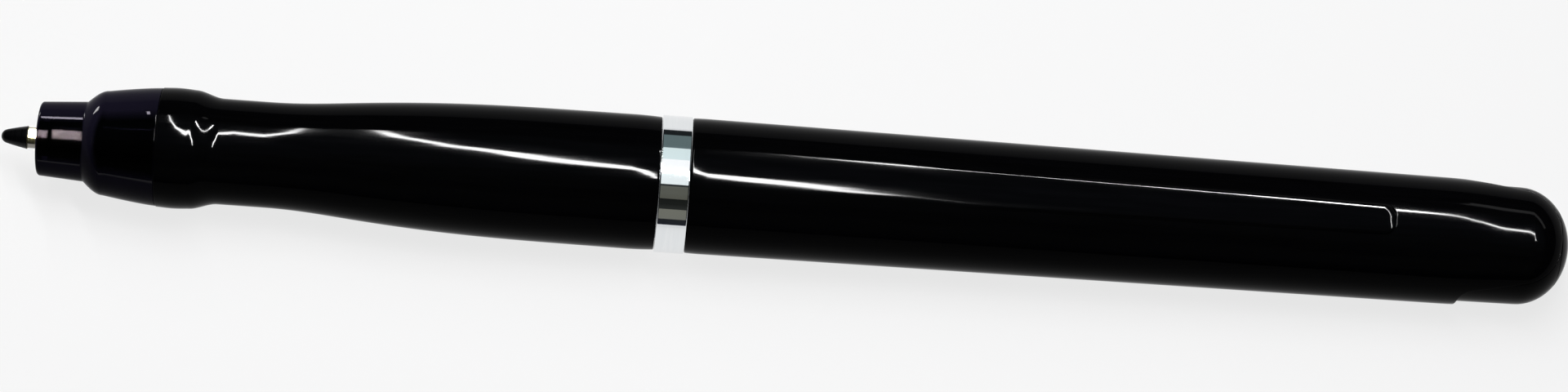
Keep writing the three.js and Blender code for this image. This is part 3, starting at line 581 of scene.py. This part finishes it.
def plugShape():
    s = plug
    seamColumn = s["coreColumns"] + s["shelfColumns"]
    lastColumn = seamColumn + s["outerColumns"]
    coreEnd = rear["end"] + rear["cavityLength"] - s["running"]
    coreFront, coreBack = rear["bore"] - s["running"], rear["cavityRadius"] - s["running"]
    points, faces, bevels, rows = [], [], [], []

    def section(x, radius, core):
        seam = min(seamAt(x, s["gap"]), radius)
        turn = acos(seam / radius)
        edge = radius * sin(turn)
        half = [(edge * k / seamColumn, seam) for k in range(seamColumn)]
        if core > seam:  # the core goes up into the roof's cavity
            coreTurn = acos(seam / core)
            inner = core * sin(coreTurn)
            half = [around(core, coreTurn * k / s["coreColumns"]) for k in range(s["coreColumns"] + 1)] + \
                [(inner + (edge - inner) * k / s["shelfColumns"], seam) for k in range(1, s["shelfColumns"])]
        return half + [around(radius, turn + (pi - turn) * k / s["outerColumns"])
                       for k in range(s["outerColumns"] + 1)]

    def addSection(x, radius, cored=True):
        core = between(x, rear["end"], coreEnd, coreFront, coreBack) if cored else 0.0
        rows.append(addRow(points, x, section(x, radius, core)))

    turns = [atan2(y, z) for y, z in section(s["start"], s["frontRadius"] - s["edge"], coreFront)]
    spigot = [(s["spigotStart"], 0.0)]
    for out, along in [around(s["spigotEdge"], t * pi / 8) for t in range(5)]:
        spigot.append((s["spigotStart"] + s["spigotEdge"] - along, s["spigot"] - s["spigotEdge"] + out))
    for x, radius in spigot + [(s["start"], s["spigot"])]:
        rows.append(addRow(points, x, [around(radius, turn) for turn in turns]))
    for out, along in [around(s["edge"], t * pi / 10) for t in range(6)]:
        addSection(s["start"] + s["edge"] - along, s["frontRadius"] - s["edge"] + out)
    firstRim = len(rows)
    places = [x for x in seamRows(s["start"], s["gap"], plugAt)
              if x > s["start"] + s["edge"] + 0.02 and abs(x - coreEnd) > 0.03]
    for x in [x for x in places if x < coreEnd] + [coreEnd]:
        addSection(x, plugAt(x))
    for x in [coreEnd] + [x for x in places if x > coreEnd]:
        addSection(x, plugAt(x), False)
    lastRim, lastTurn = len(rows) - 2, domeTurn(places[-1])
    for t in range(1, rear["domeRows"] + 1):
        out, along = around(rear["domeLength"], lastTurn + (pi / 2 - lastTurn) * t / rear["domeRows"])
        radius = rear["domeRadius"] * along / rear["domeLength"]
        addSection(rear["domeCentre"] + out, max(radius, 1e-5), False)
    rims = (lastColumn - 1 - seamColumn, lastColumn - 1 + seamColumn)
    for number, (here, there) in enumerate(zip(rows, rows[1:])):
        joinRows(faces, here, there)
        if firstRim <= number < lastRim:
            bevels += [(here[rim], there[rim], s["rim"]) for rim in rims]
    return points, faces, bevels


makePiece("domed_plug", plugShape(), "abs", "end_plug", body="rear_barrel")
print("rear barrel and end plug made")


# Collar with the thread that the rear barrel screws on to, and the rubber ring in its groove

collar = {"start": 58.2, "end": 78.0, "radius": 5.15, "bore": 4.0, "shoulder": 65.15, "threadStart": 65.85,
          "threadEnd": 73.35, "pitch": 1.5, "depth": 0.3, "flank": 0.35, "root": 4.75, "crest": 5.05,
          "fade": 0.8, "rows": 96, "grooveStart": 74.15, "grooveEnd": 75.55, "groove": 4.35}


def threadAt(x, radius, turn):
    s = collar
    if radius < s["crest"] - 0.01 or not s["shoulder"] + 0.05 < x < s["threadEnd"] + 0.01:
        return radius
    share = ((x - s["threadStart"]) / s["pitch"] - turn) % 1.0
    height = min(1.0, share / s["flank"], (1 - share) / s["flank"])
    height *= between(x, s["threadStart"] - 0.1, s["threadStart"] + s["fade"], 0.0, 1.0)
    height = max(height, between(x, s["threadEnd"] - 0.3, s["threadEnd"], 0.0, 1.0))
    return s["crest"] - s["depth"] * (1 - height)


threadStep = (collar["threadEnd"] - collar["shoulder"] - 0.1) / collar["rows"]
threadRows = [(collar["shoulder"] + 0.1 + threadStep * k, "crest") for k in range(collar["rows"] + 1)]
turnedPiece("threaded_collar_piece", collar, [
    "start bore 0.1, start radius 0.1, shoulder radius 0.05, shoulder root"] + threadRows + [
    "grooveStart crest 0.08, grooveStart groove 0.1, grooveEnd groove 0.1, grooveEnd crest 0.08, "
    "end crest 0.25, end bore 0.1"], "aluminium", "threaded_collar", change=threadAt)
seal = {"place": 74.85, "radius": 4.75, "halfWidth": 0.65, "halfHeight": 0.37, "rows": 24}
sealTurns = [2 * pi * t / seal["rows"] for t in range(seal["rows"])]
turnedPiece("rubber_seal", seal, [
    (seal["place"] + seal["halfWidth"] * cos(t), seal["radius"] + seal["halfHeight"] * sin(t))
    for t in sealTurns], "rubber", "seal_ring")


# Springs: round wire wound to closed ends that stand flat on their seats

def springPiece(name, s, body, node):
    sides, steps, half = 12, 36, s["wire"] / 2
    closed = s["wire"] * 1.04  # rise of the closed turn at each end
    length = s["end"] - s["start"] - s["wire"] - 2 * closed
    openTurns = max(2, round(length / s["pitch"]))
    rise = length / openTurns
    rings = []
    for k in range((openTurns + 2) * steps + 1):
        turn = k / steps
        x = s["start"] + half + closed * min(turn, 1) + rise * min(max(turn - 1, 0), openTurns) + \
            closed * max(turn - 1 - openTurns, 0)
        slope = closed if turn < 1 or turn > 1 + openTurns else rise
        aside, up = around(1, 2 * pi * turn)
        outward = Vector((0, aside, up))
        along = Vector((slope, 0, 0)) + Vector((0, up, -aside)) * (2 * pi * s["radius"])
        across = along.normalized().cross(outward)
        middle = outward * s["radius"] + Vector((x, 0, 0))
        wire = [around(half, 2 * pi * j / sides) for j in range(sides)]
        rings.append([tuple(middle + outward * far + across * wide) for wide, far in wire])
    return makePiece(name, tubeShape(rings), "springSteel", node, body)


returnSpring = {"start": 68.3, "end": 72.5, "radius": 1.77, "wire": 0.36, "pitch": 0.86, "squeezed": 0.88}
batterySpring = {"start": 123.82, "end": 130.68, "radius": 2.4, "wire": 0.5, "pitch": 1.25}
returnCoil = springPiece("return_spring_wire", returnSpring, "pen_body", "return_spring")
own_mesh(returnCoil)
springPiece("battery_spring_wire", batterySpring, "rear_barrel", "battery_spring")
print("collar, seal and springs made")


# Carrier, plunger and tip switch behind the refill

carrier = {"start": 60.5, "back": 68.25, "end": 70.95, "radius": 2.0, "bore": 1.225, "mouth": 1.325,
           "mouthEnd": 61.0, "floor": 67.05, "stem": 0.7}
turnedPiece("carrier_cup", carrier, [
    "end 0, end stem 0.15, back stem 0.12, back radius 0.2, start radius 0.25, start mouth 0.12, "
    "mouthEnd bore 0.1, floor bore 0.1, floor 0"],
    "whiteAcetal", "refill_carrier", "small", body="tip_carrier")
plunger = {"start": 71.0, "headEnd": 71.85, "end": 74.4, "head": 0.9, "radius": 0.6}
turnedPiece("plunger_pin", plunger, [
    "start 0, start head 0.15, headEnd head 0.15, headEnd radius 0.08, end radius 0.25, end 0"],
    "redAcetal", "switch_plunger", "tiny", body="plunger")
switch = {"start": 72.55, "end": 76.55, "radius": 3.9, "bore": 0.65, "boreEnd": 74.95, "flangeEnd": 73.35,
          "waistStart": 73.55, "waist": 3.72}
turnedPiece("switch_can", switch, [
    "start bore 0.1, start radius 0.25, flangeEnd radius 0.12, waistStart waist 0.12, end waist 0.3, "
    "end 0, boreEnd 0, boreEnd bore"], "blackNylon", "tip_switch", "small")


# Power board, contact, sleeve, cell, cap, plate and liner

disc = {"start": 76.6, "end": 77.4, "radius": 3.9}
turnedPiece("power_board_disc", disc, ["start 0, start radius 0.08, end radius 0.08, end 0"],
    "laminate", "power_board")
rivet = {"start": 77.45, "flangeEnd": 77.85, "end": 80.35, "flange": 2.0, "post": 1.1}
turnedPiece("positive_rivet", rivet, [
    "start 0, start flange 0.08, flangeEnd flange 0.12, flangeEnd post 0.15, end post 0.35, end 0"],
    "brass", "positive_contact", "small")
sleeve = {"start": 78.05, "floorEnd": 79.05, "mouthStart": 120.6, "end": 121.4, "radius": 4.75, "bore": 4.25,
          "mouth": 4.3, "hole": 2.4}
turnedPiece("battery_tube", sleeve, [
    "start hole 0.1, start radius 0.25, end radius 0.12, end mouth 0.1, mouthStart bore 0.2, "
    "floorEnd bore 0.2, floorEnd hole 0.1"], "nylon", "battery_sleeve")
cell = {"start": 80.4, "nubEnd": 81.2, "capStart": 81.25, "capEnd": 81.65, "canStart": 81.7, "beadStart": 82.9,
        "bead": 83.3, "beadEnd": 83.7, "dish": 122.78, "end": 122.9, "nub": 1.0, "cap": 2.6, "capRim": 3.8,
        "radius": 4.15, "beadRadius": 4.05, "endRim": 3.25, "dishRadius": 3.15, "edge": 0.3}
turnedPiece("cell_body", cell, [
    "start 0, start nub 0.15, nubEnd nub 0.12, capStart cap 0.1, capEnd capRim 0.2, "
    "canStart radius edge, beadStart radius 0.3, bead beadRadius 0.3, beadEnd radius 0.3, "
    "end radius edge, end endRim 0.1, dish dishRadius 0.1, dish 0"], "wrap", "battery_cell")
cap = {"start": 122.95, "end": 123.75, "radius": 3.1, "boss": 1.85, "bossEnd": 124.75}
turnedPiece("spring_cap", cap, [
    "start 0, start radius 0.2, end radius 0.2, end boss 0.12, bossEnd boss 0.3, bossEnd 0"],
    "brass", "contact_cap", "small", body="contact_swivel")
plate = {"start": 130.75, "seat": 130.87, "end": 131.35, "radius": 4.83, "bossRim": 1.5, "seatInner": 1.75,
         "seatOuter": 3.1, "seatRim": 3.3}
turnedPiece("spring_plate", plate, [
    "start 0, start bossRim 0.2, seat seatInner 0.1, seat seatOuter 0.1, start seatRim 0.1, "
    "start radius 0.1, end radius 0.1, end 0"],
    "brass", "contact_plate", body="rear_barrel")
liner = {"start": 79.05, "seat": 130.7, "end": 131.35, "radius": 5.10, "bore": 4.85, "seatBore": 4.87}
turnedPiece("rolled_liner", liner, [
    "start bore 0.05, start radius 0.08, end radius 0.08, end seatBore 0.05, seat seatBore, seat bore"],
    "linerSteel", "ground_liner", body="rear_barrel")
print("tip switch and battery parts made")


# Boards and chips

def block(low, high, edge):
    points = [(x, y, z) for x in (low[0], high[0]) for y in (low[1], high[1]) for z in (low[2], high[2])]
    faces = [[0, 1, 3, 2], [4, 6, 7, 5], [0, 4, 5, 1], [2, 3, 7, 6], [0, 2, 6, 4], [1, 5, 7, 3]]
    edges = {tuple(sorted((face[i], face[(i + 1) % 4]))) for face in faces for i in range(4)}
    return points, faces, [(a, b, edge) for a, b in sorted(edges)]


def joinedBlocks(blocks):
    points, faces, bevels = [], [], []
    for somePoints, someFaces, someBevels in blocks:
        first = len(points)
        points += somePoints
        faces += [[number + first for number in face] for face in someFaces]
        bevels += [(a + first, b + first, width) for a, b, width in someBevels]
    return points, faces, bevels


board = {"start": 18.25, "end": 58.1, "halfWidth": 2.585, "top": -2.2, "low": -3.0, "edge": 0.06,
         "chipTop": -3.05, "stand": 0.08, "legThickness": 0.12, "legHalfWidth": 0.11, "flange": 0.14,
         "chipEdge": 0.08, "flangeInset": 0.02, "flangeEdge": 0.05, "legRoot": 0.05, "legEdge": 0.03,
         "padShare": 0.35}
makePiece("main_board_plate", block((board["start"], -board["halfWidth"], board["low"]),
                                    (board["end"], board["halfWidth"], board["top"]), board["edge"]),
          "laminate", "main_board", steps=2)
chips = {  # distance from the board's end, length, width, height, legs on a side, their reach, look, slot
    "processor_chip": (12.0, 4.5, 4.0, 0.9, 8, 0.45, "chip", "chip_black"),
    "driver_chip": (6.5, 3.0, 3.0, 0.8, 4, 0.4, "chip", "chip_black"),
    "crystal_can": (18.5, 3.2, 1.4, 0.7, 0, 0.1, "canSteel", "can_metal"),
    "voltage_coil": (24.5, 2.2, 1.6, 0.8, 1, 0.25, "ferrite", "can_metal"),
}
for name, (back, length, width, height, legs, reach, look, slot) in chips.items():
    start, top, half = board["end"] - back, board["chipTop"], width / 2
    blocks = [block((start, reach - half, top - height),
                    (start + length, half - reach, top - board["stand"]), board["chipEdge"])]
    if name == "crystal_can":  # the can's flange
        inset = board["flangeInset"]
        blocks.append(block((start + inset, -half, top - board["flange"]),
                            (start + length - inset, half, top), board["flangeEdge"]))
    for number in range(legs):
        middle = start + length * (number + 0.5) / legs
        wide = board["legHalfWidth"] if legs > 1 else board["padShare"] * length
        for side in (-1, 1):
            inner, outer = side * (half - reach - board["legRoot"]), side * half
            blocks.append(block((middle - wide, min(inner, outer), top - board["legThickness"]),
                                (middle + wide, max(inner, outer), top), board["legEdge"]))
    makePiece(name + "_body", joinedBlocks(blocks), look, name, steps=2)
ribbon = {"start": 14.7, "end": 20.7, "halfWidth": 1.0, "top": -3.06, "halfThickness": 0.08, "edge": 0.06,
          "sag": 0.03, "steps": 24}
wide, thick, edge = ribbon["halfWidth"], ribbon["halfThickness"], ribbon["edge"]
section = filleted([(-wide, -thick, edge), (-wide, thick, edge), (wide, thick, edge), (wide, -thick, edge)], 3)
rings = []
for k in range(ribbon["steps"] + 1):
    share = k / ribbon["steps"]
    place = ribbon["start"] + (ribbon["end"] - ribbon["start"]) * share
    middle = ribbon["top"] - thick - ribbon["sag"] * sin(pi * share) ** 2
    rings.append([(place, y, middle + z) for y, z in section])
makePiece("film_ribbon", tubeShape(rings), "film", "ribbon_cable")
print("boards, chips and ribbon made")


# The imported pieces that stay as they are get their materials

for node, look in {"led_holder": "blackNylon", "inner_chassis": "nylon"}.items():
    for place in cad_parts[node].material_slots:
        place.material = looks[look]
print("packed holder and chassis finished")


# Table, camera and lamps

view = {"aimFrom": 54.0, "aimAt": 74.326, "below": 0.334, "distance": 400.0, "tilt": 15.7, "roll": 4.16,
        "lens": 96.3, "sensor": 36.0}
tilt = radians(view["tilt"])
upward = Vector((0, cos(tilt), sin(tilt)))  # image-up, across the pen
towards = Vector((0, -sin(tilt), cos(tilt)))  # from the pen to the camera


def fromAxis(x, up, out):
    return inFrame((x, 0, 0)) + upward * (up / 1000) + towards * (out / 1000)


def addCamera():
    data = bpy.data.cameras.new("camera")
    data.lens, data.sensor_width, data.clip_start = view["lens"], view["sensor"], 0.01
    camera = addObject("camera", data)
    place = fromAxis(view["aimFrom"], 0, view["distance"])
    forward = (fromAxis(view["aimAt"], -view["below"], 0) - place).normalized()
    along = (Vector((1, 0, 0)) - forward * forward.x).normalized()
    across = along.cross(forward)
    if across.dot(upward) < 0:
        across = -across
    roll = radians(view["roll"])
    right = along * cos(roll) + across * sin(roll)
    up = across * cos(roll) - along * sin(roll)
    turn = Matrix((right, up, -forward)).transposed().to_4x4()
    camera.matrix_world = Matrix.Translation(place) @ turn
    scene.camera = camera


def addTable():
    # White lacquered board: pure white to the camera, in gloss and through glass, with a share of its own
    # shading, so the pen's shadow stays.
    values = {"reach": 4.0, "white": 0.78, "grain": 2.0}
    look = bpy.data.materials.new("white_lacquered_board")
    tree = emptyTree(look)
    place = addNode(tree, "TexCoord", {})["Object"]
    tones = {0: addPattern(tree, place, values["grain"]), 6: linear("#f2f2f3"), 7: linear("#f6f6f7")}
    colour = addNode(tree, "Mix", tones, data_type="RGBA")
    board = addNode(tree, "BsdfDiffuse", {"Color": colour[2]})
    glow = addNode(tree, "Emission", {"Color": (1, 1, 1, 1), "Strength": 1.0})
    rays = addNode(tree, "LightPath", {})
    seen = rays["Is Camera Ray"]
    for ray in ("Is Glossy Ray", "Is Transmission Ray"):
        seen = addNode(tree, "Math", {0: seen, 1: rays[ray]}, operation="MAXIMUM")[0]
    share = addNode(tree, "Math", {0: seen, 1: values["white"]}, operation="MULTIPLY")
    mixed = addNode(tree, "MixShader", {0: share[0], 1: board[0], 2: glow[0]})
    addNode(tree, "OutputMaterial", {"Surface": mixed[0]})
    mesh = bpy.data.meshes.new("table_top")
    half, rows = values["reach"] / 2, 8
    row = rows + 1
    points = [(-half + values["reach"] * i / rows, -half + values["reach"] * j / rows, -0.00002)
              for j in range(row) for i in range(row)]
    corners = [j * row + i for j in range(rows) for i in range(rows)]
    mesh.from_pydata(points, [], [[k, k + 1, k + row + 1, k + row] for k in corners])
    mesh.materials.append(look)
    addObject("table_top", mesh)


def addWorld():
    # A dim studio: dark grey cloths overhead and at the sides, and a low white wall all round.
    # A stop is the angle from straight up towards +Y, in degrees, and the cloth's colour there.
    stops = [(-90, "#20222a"), (-60, "#2c2e2c"), (-40, "#181a18"), (-20, "#2a2d2c"), (10, "#3a3f48"),
             (35, "#343a40"), (55, "#1b1f20"), (90, "#202426")]
    wall = {"colour": "#f0f0f2", "from": 0.03, "to": 0.05}
    scene.world = bpy.data.worlds.new("dim_studio")
    tree = emptyTree(scene.world)
    way = addNode(tree, "TexCoord", {})["Generated"]
    parts = addNode(tree, "SeparateXYZ", {"Vector": way})
    height = addNode(tree, "Math", {0: parts["Z"], 1: 0.0}, operation="MAXIMUM")
    turn = addNode(tree, "Math", {0: parts["Y"], 1: height[0]}, operation="ARCTAN2")
    folds = addNode(tree, "TexNoise", {"Vector": way, "Scale": 5.0, "Detail": 3.0})
    fold = addNode(tree, "MapRange", {"Value": folds["Fac"], "To Min": -0.25, "To Max": 0.25})
    moved = addNode(tree, "Math", {0: turn[0], 1: fold["Result"]}, operation="ADD")
    share = addNode(tree, "MapRange", {"Value": moved[0], "From Min": -pi / 2, "From Max": pi / 2})
    ramp = addNode(tree, "ValToRGB", {"Fac": share["Result"]})["Color"]
    marks = ramp.node.color_ramp.elements
    while len(marks) > 1:
        marks.remove(marks[-1])
    for number, (angle, colour) in enumerate(stops):
        place = (angle + 90) / 180
        stop = marks[0] if number == 0 else marks.new(place)
        stop.position, stop.color = place, linear(colour)
    low = addNode(tree, "MapRange", {"Value": parts["Z"], "From Min": wall["to"],
                                     "From Max": wall["from"]})
    over = {0: low["Result"], 6: ramp, 7: linear(wall["colour"])}
    colour = addNode(tree, "Mix", over, data_type="RGBA")
    back = addNode(tree, "Background", {"Color": colour[2], "Strength": 1.0})
    addNode(tree, "OutputWorld", {"Surface": back[0]})


def addLamp(name, corner, along, facing, length, width, radiance, colour, only=(), through=False):
    data = bpy.data.lights.new(name, "AREA")
    data.shape, data.size, data.size_y = "RECTANGLE", length, width
    data.energy = radiance * pi * length * width
    data.color = linear(colour)[:3]
    lamp = addObject(name, data)
    facing = (facing - along * facing.dot(along)).normalized()
    lamp.matrix_world = Matrix.Translation(corner) @ \
        Matrix((along, facing.cross(along), facing)).transposed().to_4x4()
    if only:  # a lamp that is flagged off all other pieces
        lit = bpy.data.collections.new(name + "_lights")
        for piece in only:
            lit.objects.link(bpy.data.objects[piece])
        lamp.light_linking.receiver_collection = lit
        if through:  # and whose light the other pieces let by
            lamp.light_linking.blocker_collection = lit


def addStrips(name, places, width, radiance, only=(), out=300.0):
    # A lamp tube bent through these places: (along the pen, image-up) in mm, out mm above the axis.
    for number, (start, end) in enumerate(zip(places, places[1:]), 1):
        first, last = fromAxis(*start, out), fromAxis(*end, out)
        middle, length = (first + last) / 2, (last - first).length
        addLamp(name + str(number), middle, (last - first).normalized(), middle - inFrame((75, 0, 0)),
                length + 0.002, width / 1000, radiance, "#ffffff", only)


def addCloths(name, places, cloths, only, through=False, away=0.4):
    # Lit cloths across the pen that only some pieces mirror. A cloth has the angles from the camera towards
    # image-up, in degrees, between which it hangs, its radiance and its colour.
    start, end = places
    for number, (low, high, radiance, colour) in enumerate(cloths, 1):
        middle = radians((low + high) / 2)
        way = towards * cos(middle) + upward * sin(middle)
        addLamp(name + str(number), inFrame(((start + end) / 2, 0, 0)) + way * away, Vector((1, 0, 0)), way,
                (end - start) / 1000, 2 * away * tan(radians(high - low) / 2), radiance, colour,
                only, through)


addCamera()
addTable()
addWorld()
rearPieces = ["rear_shell", "domed_plug"]
blackPieces = rearPieces + ["grip_shell"]
addStrips("near_lamp_tip_", [(106, 44), (96, 72)], 10, 60)
addStrips("near_lamp_", [(96, 72), (84, 104), (60, 124), (40, 163), (32, 195), (0, 247)], 19, 60)
addStrips("near_lamp_end_", [(0, 247), (-45, 388), (-94, 640)], 11, 60)
addStrips("far_lamp_start_", [(119, 695), (132, 654)], 5, 55, rearPieces)
addStrips("far_lamp_", [(132, 654), (185, 485)], 12, 150, rearPieces)
addStrips("far_lamp_middle_", [(185, 485), (230, 341)], 12, 150, blackPieces)
addStrips("far_lamp_end_", [(230, 341), (316, 70)], 8, 60, blackPieces)
addCloths("ring_cloth_", (66, 80), [
    (0, 21, 1.1, "#f4fbfb"), (21, 42, 1.2, "#ffffff"), (42, 63, 1.0, "#eafafa"), (63, 90, 0.30, "#a9c4c6"),
    (-24, -3, 0.13, "#e4e4d0"), (-60, -42, 0.20, "#ecebd8")], ["chrome_ring"])
addCloths("tube_cloth_", (-50, -37), [(8, 102, 9000.0, "#f6f4bc")], ["tube_of_refill"], True)
addCloths("nose_cloth_", (-93, -84), [(66, 73, 20.0, "#f4ecff")], ["clear_nose"])
flareWay = (Vector((-0.69, 0, 0)) + upward * 0.71 - towards * 0.17).normalized()
addLamp("flare_lamp", inFrame((9, 0, 0)) + flareWay * 0.3, flareWay.orthogonal().normalized(), flareWay,
        0.09, 0.05, 160.0, "#ffffff", ["clear_nose"])
for number, side in enumerate([1, -1], 1):  # dim lamps at the far corners, for the looks from behind
    corner = Vector((0.35 * side, 0.35, 0.30))
    addLamp("corner_lamp_" + str(number), corner, Vector((1, -side, 0)).normalized(), corner.normalized(),
            0.40, 0.05, 11.0, "#ffffff", blackPieces)
print("table, camera and lamps made")
